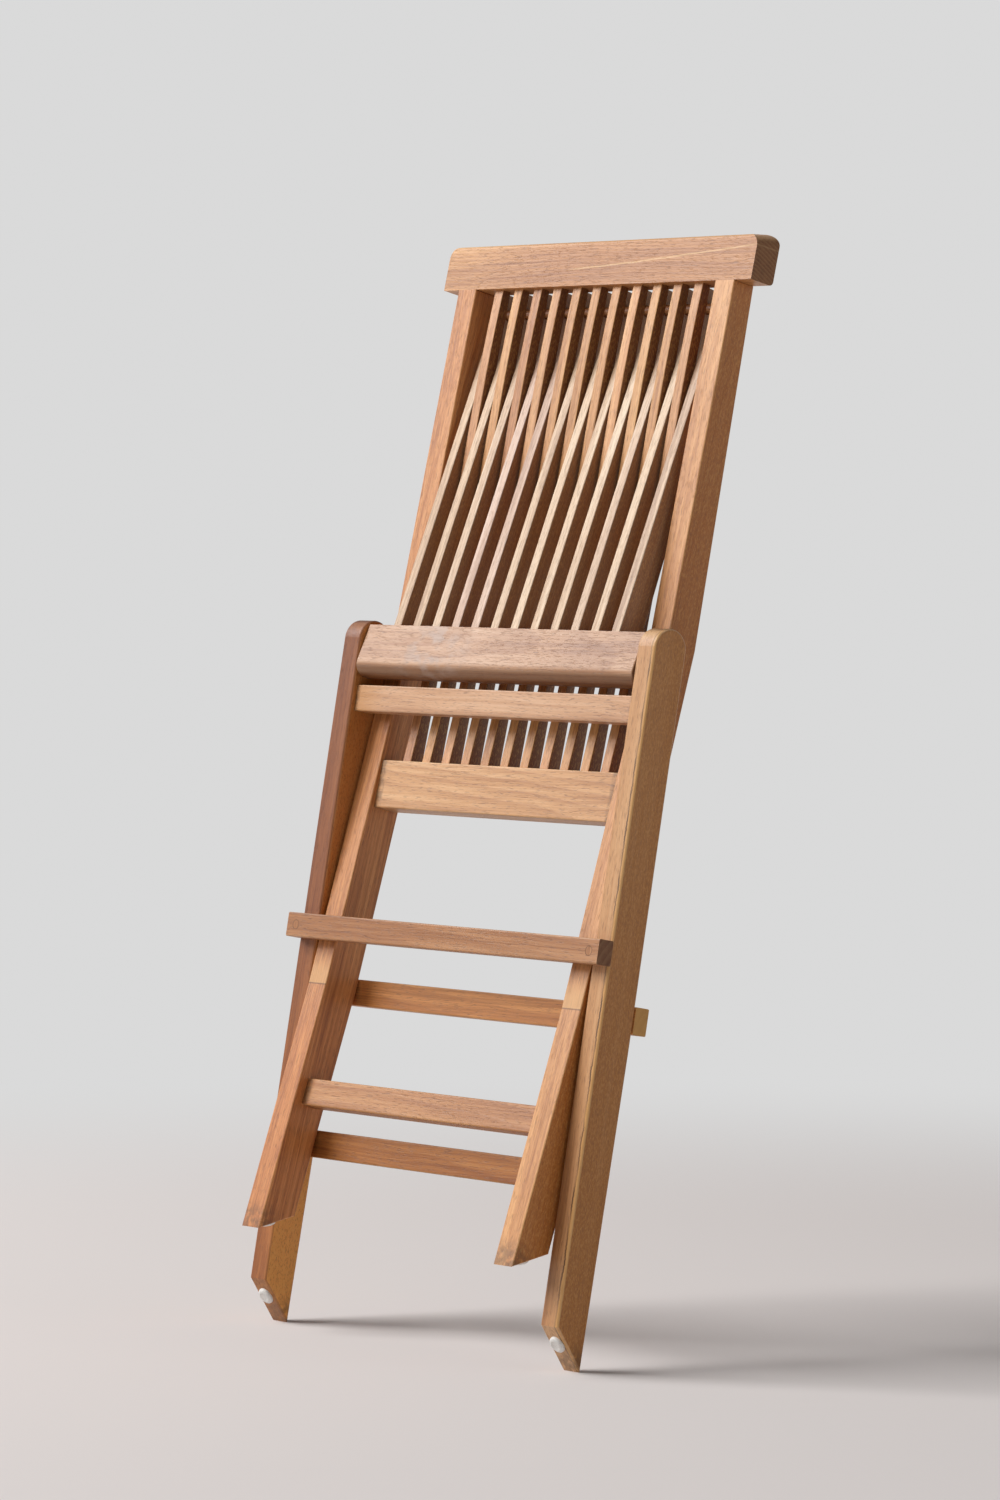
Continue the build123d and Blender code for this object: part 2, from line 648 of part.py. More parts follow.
# Seat front rail: rolled nose, flush with the slats at its rear edge
with BuildPart() as seat_front_rail:
    with BuildSketch(seat_side):
        with BuildLine():
            Polyline(
                (-seat_top, rail_rear),
                (-rail_crown, -rail_nose),
                (rail_bottom, -rail_nose),
                (rail_bottom, rail_rear),
                close=True,
            )
        make_face()
        nose_limit = 0.48 * (rail_crown + rail_bottom)
        fillet(vertices().sort_by(Axis.Y)[:2], min(rail_nose_round, nose_limit))
    extrude(amount=rail_half, both=True)
    fillet(seat_front_rail.faces().filter_by(Axis.X).edges(), edge_round)
    with BuildSketch(end_plane(seat_side, seat_tenon_middle, rail_rear)):
        with Locations([(place, 0) for place in seat_slat_places]):
            Rectangle(seat_tenon_width + 2 * joint_gap, seat_tenon_depth + 2 * joint_gap)
    extrude(amount=-slat_tenon_length - tenon_end_gap, mode=Mode.SUBTRACT)
    with BuildSketch(seat_side.offset(rail_half)):
        Circle(pin_diameter / 2 + pin_fixed_gap)
    extrude(amount=-pin_depth, mode=Mode.SUBTRACT)
    with BuildSketch(seat_side.offset(-rail_half)):
        Circle(pin_diameter / 2 + pin_fixed_gap)
    extrude(amount=pin_depth, mode=Mode.SUBTRACT)
save(seat_front_rail, "seat_front_rail")

# Seat slats: tapering to the back, each with a tenon and a hole for the rear rod
with BuildPart() as seat_slat:
    with BuildSketch(seat_side.offset(-seat_slat_width / 2)):
        with BuildLine():
            Polyline(
                (-seat_top, rail_rear),
                (-seat_top, slat_end),
                (seat_slat_rear_depth - seat_top, slat_end),
                (seat_slat_front_depth - seat_top, rail_rear),
                close=True,
            )
        make_face()
        fillet(vertices().sort_by(Axis.Y)[2:], slat_end_round)
    extrude(amount=seat_slat_width)
    long_edges = seat_slat.faces().filter_by(Axis.X).edges().sort_by(SortBy.LENGTH)[-4:]
    fillet(long_edges, slat_edge_round)
    with BuildSketch(end_plane(seat_side, seat_tenon_middle, rail_rear)):
        Rectangle(seat_tenon_width, seat_tenon_depth)
    extrude(amount=-slat_tenon_length)
    with BuildSketch(seat_side):
        with Locations((-rod_height, rod_reach)):
            Circle(rear_rod_diameter / 2 + pin_fixed_gap)
    extrude(amount=seat_slat_width, both=True, mode=Mode.SUBTRACT)

for number, place in enumerate(seat_slat_places, start=1):
    with BuildPart() as placed_slat:
        with Locations((place, 0, 0)):
            add(seat_slat.part)
    save(placed_slat, f"seat_slat_{number:02d}")

# Rear rod: threads all seat slats together behind the back slats
with BuildPart() as seat_rear_rod:
    with BuildSketch(seat_side):
        with Locations((-rod_height, rod_reach)):
            Circle(rear_rod_diameter / 2)
    extrude(amount=seat_slat_span / 2 + rear_rod_overhang, both=True)
save(seat_rear_rod, "seat_rear_rod")

# Seat pins: fixed in the front rail, turning in the heads of the outer legs
with BuildPart() as right_seat_pin:
    with BuildSketch(seat_side.offset(rail_half - pin_depth)):
        Circle(pin_diameter / 2)
    extrude(amount=2 * pin_depth + rail_end_gap)
save(right_seat_pin, "right_seat_pin")

with BuildPart() as left_seat_pin:
    mirror(right_seat_pin.part, about=Plane.YZ)
save(left_seat_pin, "left_seat_pin")
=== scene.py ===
import json
import math

import bpy
import numpy as np
from mathutils import Euler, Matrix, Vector


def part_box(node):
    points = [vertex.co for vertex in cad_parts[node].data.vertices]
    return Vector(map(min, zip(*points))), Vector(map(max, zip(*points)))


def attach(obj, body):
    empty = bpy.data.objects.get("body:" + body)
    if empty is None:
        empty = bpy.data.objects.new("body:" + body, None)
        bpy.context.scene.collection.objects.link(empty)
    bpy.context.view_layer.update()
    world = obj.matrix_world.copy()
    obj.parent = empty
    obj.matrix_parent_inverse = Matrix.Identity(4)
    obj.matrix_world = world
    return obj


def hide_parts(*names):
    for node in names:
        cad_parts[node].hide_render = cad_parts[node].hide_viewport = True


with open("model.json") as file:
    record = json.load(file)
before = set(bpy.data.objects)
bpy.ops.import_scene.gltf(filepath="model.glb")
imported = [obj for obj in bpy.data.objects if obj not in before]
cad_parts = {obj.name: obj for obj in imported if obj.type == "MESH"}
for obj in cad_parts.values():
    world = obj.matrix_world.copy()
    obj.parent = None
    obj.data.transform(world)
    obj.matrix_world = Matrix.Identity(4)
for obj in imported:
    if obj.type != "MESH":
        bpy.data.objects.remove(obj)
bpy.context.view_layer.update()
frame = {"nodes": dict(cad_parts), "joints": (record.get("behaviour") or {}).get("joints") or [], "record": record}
print("frame loaded:", len(frame["nodes"]), "nodes")

# pivots and leans of the folded chair, metres and degrees
legPivot = Vector(frame["joints"][0]["pos_m"])
seatPivot = Vector(frame["joints"][1]["pos_m"])
leans = {"back": 13.8, "stile": 16.6, "leg": 10.8, "seat": 22.884, "foot": 19.7}
halves = (0.5, 0.5, 0.5)
levelOnly = (1.0, 1.0, 0.0)  # keeps x and y, drops z


def addObject(name, data):
    made = bpy.data.objects.new(name, data)
    bpy.context.scene.collection.objects.link(made)
    return made


# fills a node's sockets: a socket takes another node's output, or a plain value
def fill(tree, node, sockets):
    for name, value in sockets.items():
        if isinstance(value, bpy.types.NodeSocket):
            tree.links.new(value, node.inputs[name])
        else:
            node.inputs[name].default_value = value


def put(tree, kind, sockets=None, **settings):
    node = tree.nodes.new(kind)
    for name, value in settings.items():
        setattr(node, name, value)
    fill(tree, node, sockets or {})
    return node


def calc(tree, operation, *terms):
    return put(tree, "ShaderNodeMath", dict(enumerate(terms)), operation=operation).outputs[0]


def times(tree, first, *others):
    for other in others:
        first = calc(tree, "MULTIPLY", first, other)
    return first


def minus(tree, first, second):
    return calc(tree, "SUBTRACT", first, second)


def vectorCalc(tree, operation, *terms):
    node = put(tree, "ShaderNodeVectorMath", dict(enumerate(terms)), operation=operation)
    return node.outputs["Value" if operation == "LENGTH" else "Vector"]


def combine(tree, x=0.0, y=0.0, z=0.0):
    return put(tree, "ShaderNodeCombineXYZ", {0: x, 1: y, 2: z}).outputs[0]


def separate(tree, vector):
    return put(tree, "ShaderNodeSeparateXYZ", {0: vector}).outputs


# goes smoothly from start to end while the value goes from low to high
def ease(tree, value, low, high, start=0.0, end=1.0):
    node = put(tree, "ShaderNodeMapRange", {0: value, 1: low, 2: high, 3: start, 4: end},
               interpolation_type="SMOOTHSTEP")
    return node.outputs[0]


def blendColours(tree, amount, first, second, kind="MIX"):
    node = put(tree, "ShaderNodeMix", {0: amount, 6: first, 7: second},
               data_type="RGBA", blend_type=kind)
    return node.outputs[2]


def colour(red, green, blue):
    return (red, green, blue, 1.0)


def noise(tree, place, scale, detail, roughness=0.5):
    return put(tree, "ShaderNodeTexNoise", {"Vector": place, "Scale": scale, "Detail": detail,
                                            "Roughness": roughness}).outputs


# noise stretched along the grain, which is z; across and along are lumps per metre
def grainNoise(tree, place, across, along, detail, roughness=0.55):
    stretched = vectorCalc(tree, "MULTIPLY", place, (across, across, along))
    return noise(tree, stretched, 1.0, detail, roughness)


# soft patches that follow the grain
def patches(tree, place, look):
    return ease(tree, grainNoise(tree, place, *look["grain"])[0], *look["edges"])


# adds a wandering along the grain to a line's place
def wander(tree, place, look, line):
    sway = minus(tree, grainNoise(tree, place, *look["grain"])[0], 0.5)
    return calc(tree, "MULTIPLY_ADD", sway, look["reach"], line)


def startPaint(name):
    material = bpy.data.materials.new(name)
    material.use_nodes = True
    return material, material.node_tree, material.node_tree.nodes["Principled BSDF"]


# joins colour, gloss and relief to the shader
def finishPaint(tree, shader, paint, gloss, relief, bump):
    normal = put(tree, "ShaderNodeBump", {"Height": relief, "Strength": bump["strength"],
                                          "Distance": bump["distance"]}).outputs[0]
    fill(tree, shader, {"Base Color": paint, "Roughness": gloss, "Normal": normal})


# teak: colours, figure and gloss; a grain is lumps per metre across and along, detail, roughness
teak = {
    "pale": colour(0.66, 0.345, 0.140),
    "middle": colour(0.54, 0.246, 0.086),
    "dark": colour(0.35, 0.135, 0.042),
    "toneSteps": {"dark": 0.17, "middle": 0.46, "pale": 0.76},
    "late": colour(0.60, 0.46, 0.34),  # darkens the growth rings
    "pore": colour(0.16, 0.060, 0.020),
    # rubbed edges, and a painted highlight on them
    "worn": colour(0.72, 0.43, 0.19),  # rubbed edges
    "cutEnd": colour(0.36, 0.30, 0.25),  # darkens cut ends
    "cutRing": colour(0.46, 0.27, 0.11),  # growth rings on cut ends
    # also used as painted shade where rails enter other pieces
    "dirt": colour(0.085, 0.040, 0.016),
    "gold": colour(0.62, 0.33, 0.095),
    "shiftWay": (0.37, 0.71, 1.93),  # how a plank's shift moves it through the timber
    "sway": {"grain": (9.0, 4.0, 2.0), "reach": (0.012, 0.012, 0.0)},
    "ringRise": (0.15, 0.86), "ringFall": (0.88, 1.0, 1.0, 0.0),  # shares of one growth ring
    "broad": {"grain": (14.0, 1.5, 2.0), "edges": (0.3, 0.7), "share": 0.26},
    "band": {"grain": (85.0, 1.1, 2.0), "edges": (0.32, 0.68), "share": 0.20},
    "streak": {"grain": (420.0, 4.0, 3.0, 0.62), "edges": (0.3, 0.7)},
    "fibre": {"grain": (1300.0, 20.0, 2.0), "share": 0.22},
    "pores": {"grain": (1400.0, 95.0, 1.0), "edges": (0.57, 0.68), "share": 0.5},
    "rubAndHighlight": {"power": 4.0, "edges": (0.12, 0.42), "patchEdges": (0.25, 0.6, 0.12, 0.5)},
    "cut": {"edges": (0.7, 0.95), "ringShare": 0.28, "roughness": 0.2},
    "roughness": (0.32, 0.50),
    "relief": {"ring": 0.3, "pore": -0.9},
    "bump": {"strength": 0.35, "distance": 0.0003},
    "ior": 1.45,
}


# colour, gloss and relief from a place in the piece and the way its face looks
def makeTeakFigure(look):
    tree = bpy.data.node_groups.new("teakFigure", "ShaderNodeTree")
    inputs = {
        "Place": "Vector", "Facing": "Vector", "Shift": "Float", "Tint": "Vector", "Figure": "Float",
        "Ring width": "Float", "Heart": "Vector", "Slope": "Vector", "Streaks": "Float",
    }
    outputs = {"Colour": "Color", "Roughness": "Float", "Relief": "Float"}
    for way, sockets in (("INPUT", inputs), ("OUTPUT", outputs)):
        for name, kind in sockets.items():
            tree.interface.new_socket(name, in_out=way, socket_type="NodeSocket" + kind)
    given = put(tree, "NodeGroupInput").outputs

    shift = vectorCalc(tree, "MULTIPLY", given["Shift"], look["shiftWay"])
    start = vectorCalc(tree, "ADD", given["Place"], shift)
    lumps = grainNoise(tree, start, *look["sway"]["grain"])["Color"]
    sway = vectorCalc(tree, "SUBTRACT", lumps, halves)
    sway = vectorCalc(tree, "MULTIPLY", sway, look["sway"]["reach"])
    place = vectorCalc(tree, "ADD", start, sway)

    # growth rings round a heart line beside the piece, which may run out of it at a slope
    run = vectorCalc(tree, "MULTIPLY", given["Slope"], separate(tree, given["Place"])[2])
    heart = vectorCalc(tree, "ADD", given["Heart"], run)
    fromHeart = vectorCalc(tree, "SUBTRACT", vectorCalc(tree, "ADD", given["Place"], sway), heart)
    radius = vectorCalc(tree, "LENGTH", vectorCalc(tree, "MULTIPLY", fromHeart, levelOnly))
    turns = calc(tree, "FRACT", calc(tree, "DIVIDE", radius, given["Ring width"]))
    late = times(tree, ease(tree, turns, *look["ringRise"]), ease(tree, turns, *look["ringFall"]))

    broad = patches(tree, start, look["broad"])
    band = patches(tree, place, look["band"])
    streak = grainNoise(tree, place, *look["streak"]["grain"])[0]
    fibre = grainNoise(tree, place, *look["fibre"]["grain"])[0]
    pore = patches(tree, place, look["pores"])

    streaks = ease(tree, streak, *look["streak"]["edges"])
    level = calc(tree, "MULTIPLY_ADD", broad, look["broad"]["share"], 0.0)
    level = calc(tree, "MULTIPLY_ADD", band, look["band"]["share"], level)
    level = calc(tree, "MULTIPLY_ADD", streaks, given["Streaks"], level)
    level = calc(tree, "MULTIPLY_ADD", fibre, look["fibre"]["share"], level)
    ramp = put(tree, "ShaderNodeValToRGB", {0: level})
    tones = ramp.color_ramp.elements
    tones.new(look["toneSteps"]["middle"])
    for tone, (name, step) in zip(tones, look["toneSteps"].items()):
        tone.position = step
        tone.color = look[name]

    ringed = times(tree, late, given["Figure"])
    wood = blendColours(tree, ringed, ramp.outputs[0], look["late"], "MULTIPLY")
    wood = blendColours(tree, times(tree, pore, look["pores"]["share"]), wood, look["pore"])

    # rounded edges are rubbed pale and painted paler as a highlight, cut ends are darker and show the rings
    facing = separate(tree, vectorCalc(tree, "NORMALIZE", given["Facing"]))
    powers = [calc(tree, "POWER", calc(tree, "ABSOLUTE", axis), look["rubAndHighlight"]["power"])
              for axis in facing]
    flat = calc(tree, "ADD", calc(tree, "ADD", powers[0], powers[1]), powers[2])
    rubAndHighlight = ease(tree, minus(tree, 1.0, flat), *look["rubAndHighlight"]["edges"])
    rubAndHighlight = times(tree, rubAndHighlight, ease(tree, streak, *look["rubAndHighlight"]["patchEdges"]))
    wood = blendColours(tree, rubAndHighlight, wood, look["worn"])
    cut = ease(tree, calc(tree, "ABSOLUTE", facing[2]), *look["cut"]["edges"])
    endWood = blendColours(tree, 1.0, wood, look["cutEnd"], "MULTIPLY")
    endRings = times(tree, late, look["cut"]["ringShare"])
    endWood = blendColours(tree, endRings, endWood, look["cutRing"])
    wood = blendColours(tree, cut, wood, endWood)
    wood = vectorCalc(tree, "MULTIPLY", wood, given["Tint"])

    smoothest, roughest = look["roughness"]
    rough = calc(tree, "MULTIPLY_ADD", fibre, roughest - smoothest, smoothest)
    rough = calc(tree, "MULTIPLY_ADD", cut, look["cut"]["roughness"], rough)
    relief = calc(tree, "MULTIPLY_ADD", late, look["relief"]["ring"], fibre)
    relief = calc(tree, "MULTIPLY_ADD", pore, look["relief"]["pore"], relief)
    put(tree, "NodeGroupOutput", {"Colour": wood, "Roughness": rough, "Relief": relief})
    return tree


teakFigure = makeTeakFigure(teak)

# what a plank has unless its own line says otherwise; lengths in metres, z along its grain
plainPlank = {
    "across": False,  # grain from side to side of the chair
    "figure": 0.35, "ringWidth": 0.007, "heart": (0.03, 0.06, 0.0), "slope": (0.03, 0.02, 0.0),
    "streaks": 0.26, "flankTintAndShadeShare": 0.74,
}

frontEdges = (-0.75, -0.45, 1.0, 0.0)  # faces that look to the front


# dirt and painted shade where a rail enters another piece
jointDirtAndShade = {"reach": (0.005, 0.0005), "grain": (130.0, 130.0, 2.0), "edges": (0.35, 0.62, 0.1, 0.55)}


def soilAndShadeJoints(tree, wood, spots, look):
    start, end = (look["joint"] - reach for reach in jointDirtAndShade["reach"])
    far = ease(tree, calc(tree, "ABSOLUTE", spots["along"]), start, end)
    dirt = times(tree, far, patches(tree, spots["object"], jointDirtAndShade))
    return blendColours(tree, dirt, wood, teak["dirt"])


# warm glow of thin varnish towards one end of a rail
varnish = {"reach": 0.05, "strength": 0.55, "tint": colour(0.46, 0.19, 0.028)}


def warmEnd(tree, wood, spots, look):
    start, end = look["warm"], look["warm"] + varnish["reach"]
    near = ease(tree, spots["along"], start, end, varnish["strength"], 0.0)
    return blendColours(tree, near, wood, varnish["tint"])


# feet are scuffed and dark at their tips
footDirt = {"reach": (0.010, 0.032), "grain": (150.0, 150.0, 3.0), "edges": (0.32, 0.6, 0.05, 0.55)}


def soilFoot(tree, wood, spots, look):
    apart = vectorCalc(tree, "SUBTRACT", spots["object"], look["foot"])
    apart = vectorCalc(tree, "MULTIPLY", apart, (0.0, 1.0, 1.0))  # the same over the foot's width
    near = ease(tree, vectorCalc(tree, "LENGTH", apart), *footDirt["reach"], 1.0, 0.0)
    dirt = times(tree, near, patches(tree, spots["object"], footDirt))
    return blendColours(tree, dirt, wood, teak["dirt"])


# ragged saw line beside the outer edge of a leg's front, and the golden sapwood past it
sawMark = {
    "fromEdge": 0.0046,
    "slow": {"grain": (0.0, 34.0, 1.0), "reach": 0.005},
    "ragged": {"grain": (0.0, 420.0, 2.0), "reach": 0.0022},
    "sapEdges": (-0.0002, 0.0004), "sapShare": 0.6,
    "width": (0.0004, 0.0014), "breaks": {"grain": (0.0, 22.0, 1.0), "edges": (0.36, 0.6, 0.25, 0.95)},
}


def addSawLine(tree, wood, spots, look):
    line = wander(tree, spots["place"], sawMark["slow"], look["sawLine"])
    line = wander(tree, spots["place"], sawMark["ragged"], line)
    past = minus(tree, spots["side"], line)
    isFront = ease(tree, spots["facingBack"], *frontEdges)
    sap = times(tree, ease(tree, past, *sawMark["sapEdges"]), isFront)
    wood = blendColours(tree, times(tree, sap, sawMark["sapShare"]), wood, teak["gold"])
    thin = ease(tree, calc(tree, "ABSOLUTE", past), *sawMark["width"], 1.0, 0.0)
    mark = times(tree, thin, patches(tree, spots["place"], sawMark["breaks"]), isFront)
    return blendColours(tree, mark, wood, teak["dirt"])


# veins along the face: height at the middle, climb, bend, width, start, end and colour of each
vein = {"sway": {"grain": (0.0, 26.0, 2.0), "reach": 0.003}, "core": 0.3, "taper": 0.03, "share": 0.55}


def addVeins(tree, wood, spots, look):
    for height, climb, bend, width, start, end, paint in look["veins"]:
        run = calc(tree, "MULTIPLY_ADD", spots["along"], climb, height)
        run = calc(tree, "MULTIPLY_ADD", times(tree, spots["along"], spots["along"]), bend, run)
        run = wander(tree, spots["place"], vein["sway"], run)
        apart = calc(tree, "ABSOLUTE", calc(tree, "ADD", spots["side"], run))
        thin = ease(tree, apart, width * vein["core"], width, 1.0, 0.0)
        span = times(tree, ease(tree, spots["along"], start, start + vein["taper"]),
                     ease(tree, spots["along"], end - vein["taper"], end, 1.0, 0.0))
        mark = times(tree, thin, times(tree, span, vein["share"]))
        wood = blendColours(tree, mark, wood, paint)
    return wood


# sides of a plank, cut the other way through the timber: own tint, darkened also as painted shade, and a fine
# speckle
speckle = {"grain": (900.0, 320.0, 2.0), "goldEdges": (0.48, 0.66, 0.0, 0.4),
           "poreEdges": (0.34, 0.46, 0.45, 0.0), "sideEdges": (0.72, 0.95)}


def tintAndShadeFlanks(tree, wood, spots, look):
    dots = grainNoise(tree, spots["place"], *speckle["grain"])[0]
    onSide = ease(tree, calc(tree, "ABSOLUTE", spots["facingSide"]), *speckle["sideEdges"])
    goldDots = ease(tree, dots, *speckle["goldEdges"])
    speckledShadedSide = blendColours(tree, goldDots, colour(*look["flankTintAndShade"]), teak["gold"])
    speckledShadedSide = blendColours(tree, ease(tree, dots, *speckle["poreEdges"]), speckledShadedSide, teak["pore"])
    speckledShadedSide = blendColours(tree, look["flankTintAndShadeShare"], wood, speckledShadedSide)
    return blendColours(tree, onSide, wood, speckledShadedSide)


# grey bloom and dark wisps round a knot
bloom = {"squeeze": (1.5, 0.6, 1.0), "reach": (0.012, 0.075), "grain": (60.0, 34.0, 3.0),
         "darkEdges": (0.34, 0.46, 0.4, 0.0), "greyEdges": (0.44, 0.62, 0.0, 0.7),
         "grey": colour(0.40, 0.29, 0.24)}


def bloomKnot(tree, wood, spots, look):
    apart = vectorCalc(tree, "SUBTRACT", spots["place"], look["knot"])
    apart = vectorCalc(tree, "MULTIPLY", apart, bloom["squeeze"])
    near = ease(tree, vectorCalc(tree, "LENGTH", apart), *bloom["reach"], 1.0, 0.0)
    cloud = grainNoise(tree, spots["place"], *bloom["grain"])[0]
    shade = times(tree, near, ease(tree, cloud, *bloom["darkEdges"]))
    wood = blendColours(tree, shade, wood, teak["dark"])
    haze = times(tree, near, ease(tree, cloud, *bloom["greyEdges"]))
    return blendColours(tree, haze, wood, bloom["grey"])


# edge of a round plug
plugRim = {"radii": (0.0036, 0.0050), "strength": 0.75}


def ringPlugs(tree, wood, spots, look):
    apart = minus(tree, calc(tree, "ABSOLUTE", spots["side"]), look["plugSide"])
    reach = vectorCalc(tree, "LENGTH", combine(tree, apart, spots["along"]))
    rim = ease(tree, reach, *plugRim["radii"], 0.0, plugRim["strength"])
    return blendColours(tree, rim, wood, teak["dirt"])


# brighter or darker towards one end: painted light and shade, where light falls unevenly along the piece
def paintLightAlong(tree, wood, spots, look):
    (first, firstTint), (last, lastTint) = look["fade"]
    share = ease(tree, spots["along"], first, last)
    tint = blendColours(tree, share, colour(*firstTint), colour(*lastTint))
    return blendColours(tree, 1.0, wood, tint, "MULTIPLY")


# line across a stile's front at its lower bend, with a pale band above it
bendMark = {"height": -0.2473, "bandStart": (0.0, 0.0008), "bandEnd": (0.008, 0.036), "band": 0.55,
            "width": (0.0003, 0.0011), "line": 0.6}


def markBend(tree, wood, spots, look):
    above = minus(tree, spots["along"], look["bend"])
    isFront = ease(tree, spots["facingBack"], *frontEdges)
    band = times(tree, ease(tree, above, *bendMark["bandStart"]),
                 ease(tree, above, *bendMark["bandEnd"], bendMark["band"], 0.0))
    wood = blendColours(tree, times(tree, band, isFront), wood, teak["worn"])
    line = ease(tree, calc(tree, "ABSOLUTE", above), *bendMark["width"], bendMark["line"], 0.0)
    return blendColours(tree, times(tree, line, isFront), wood, teak["dirt"])


# a cut end that was varnished pale
def palenEnd(tree, wood, spots, look):
    along = calc(tree, "ABSOLUTE", spots["facingAlong"])
    atEnd = ease(tree, along, *teak["cut"]["edges"], 0.0, look["paleEnd"])
    return blendColours(tree, atEnd, wood, teak["gold"])


# underside of a rolled edge, darkened as painted shade
noseEdges = (0.12, 0.62)


def paintNoseShade(tree, wood, spots, look):
    under = ease(tree, spots["facingSide"], *noseEdges)
    return blendColours(tree, under, wood, colour(*look["nose"]), "MULTIPLY")


# each is laid over the ones before it
touches = {
    "flankTintAndShade": tintAndShadeFlanks, "fade": paintLightAlong, "nose": paintNoseShade, "paleEnd": palenEnd,
    "bend": markBend, "veins": addVeins, "knot": bloomKnot, "sawLine": addSawLine,
    "warm": warmEnd, "joint": soilAndShadeJoints, "foot": soilFoot, "plugSide": ringPlugs,
}

# the different timber of the slats; the ramp holds no more than 1, so it gets a share of each
slatTints = ((1.10, 1.12, 1.12), (1.02, 1.02, 0.98), (1.0, 1.0, 1.0), (0.96, 0.93, 1.06),
             (1.25, 1.25, 1.25))
tintShare = 0.8


def slatTint(tree, tone, tint):
    ramp = put(tree, "ShaderNodeValToRGB", {0: tone})
    stops = ramp.color_ramp.elements
    last = len(slatTints) - 1
    for step in range(1, last):
        stops.new(step / last)
    for stop, timber in zip(stops, slatTints):
        stop.color = colour(*(part * tintShare for part in timber))
    return vectorCalc(tree, "MULTIPLY", ramp.outputs[0], Vector(tint) / tintShare)


# one plank's own teak
def teakFor(name, look, rows=False):
    look = {**plainPlank, **look}
    material, tree, shader = startPaint(name)
    coords = put(tree, "ShaderNodeTexCoord").outputs
    turn = Euler((math.radians(look["lean"]), -math.pi / 2 if look["across"] else 0.0, 0.0))
    facing = put(tree, "ShaderNodeMapping", {"Vector": coords["Normal"], "Rotation": turn},
                 vector_type="NORMAL").outputs[0]
    if rows:  # slats carry their own place, timber and tone
        place, shift, tone = (put(tree, "ShaderNodeAttribute", attribute_name=label).outputs[output]
                              for label, output in (("grainPlace", "Vector"), ("timberShift", "Fac"),
                                                    ("timberTone", "Fac")))
        tint = slatTint(tree, tone, look["tint"])
    else:
        centre = Vector(look["middle"])
        centre.rotate(turn)
        place = put(tree, "ShaderNodeMapping", {"Vector": coords["Object"], "Location": -centre,
                                                "Rotation": turn}).outputs[0]
        shift, tint = look["shift"], look["tint"]
    wood = put(tree, "ShaderNodeGroup", {
        "Place": place, "Facing": facing, "Shift": shift, "Tint": tint, "Figure": look["figure"],
        "Ring width": look["ringWidth"], "Heart": look["heart"], "Slope": look["slope"],
        "Streaks": look["streaks"]}, node_tree=teakFigure).outputs
    parts, faces = separate(tree, place), separate(tree, facing)
    spots = {"object": coords["Object"], "place": place, "side": parts[0], "along": parts[2],
             "facingSide": faces[0], "facingBack": faces[1], "facingAlong": faces[2]}
    paint = wood["Colour"]
    for touch, addTouch in touches.items():
        if touch in look:
            paint = addTouch(tree, paint, spots, look)
    finishPaint(tree, shader, paint, wood["Roughness"], wood["Relief"], teak["bump"])
    shader.inputs["IOR"].default_value = teak["ior"]
    return material


def dress(node, material):
    for slot in frame["nodes"][node].material_slots:
        slot.material = material


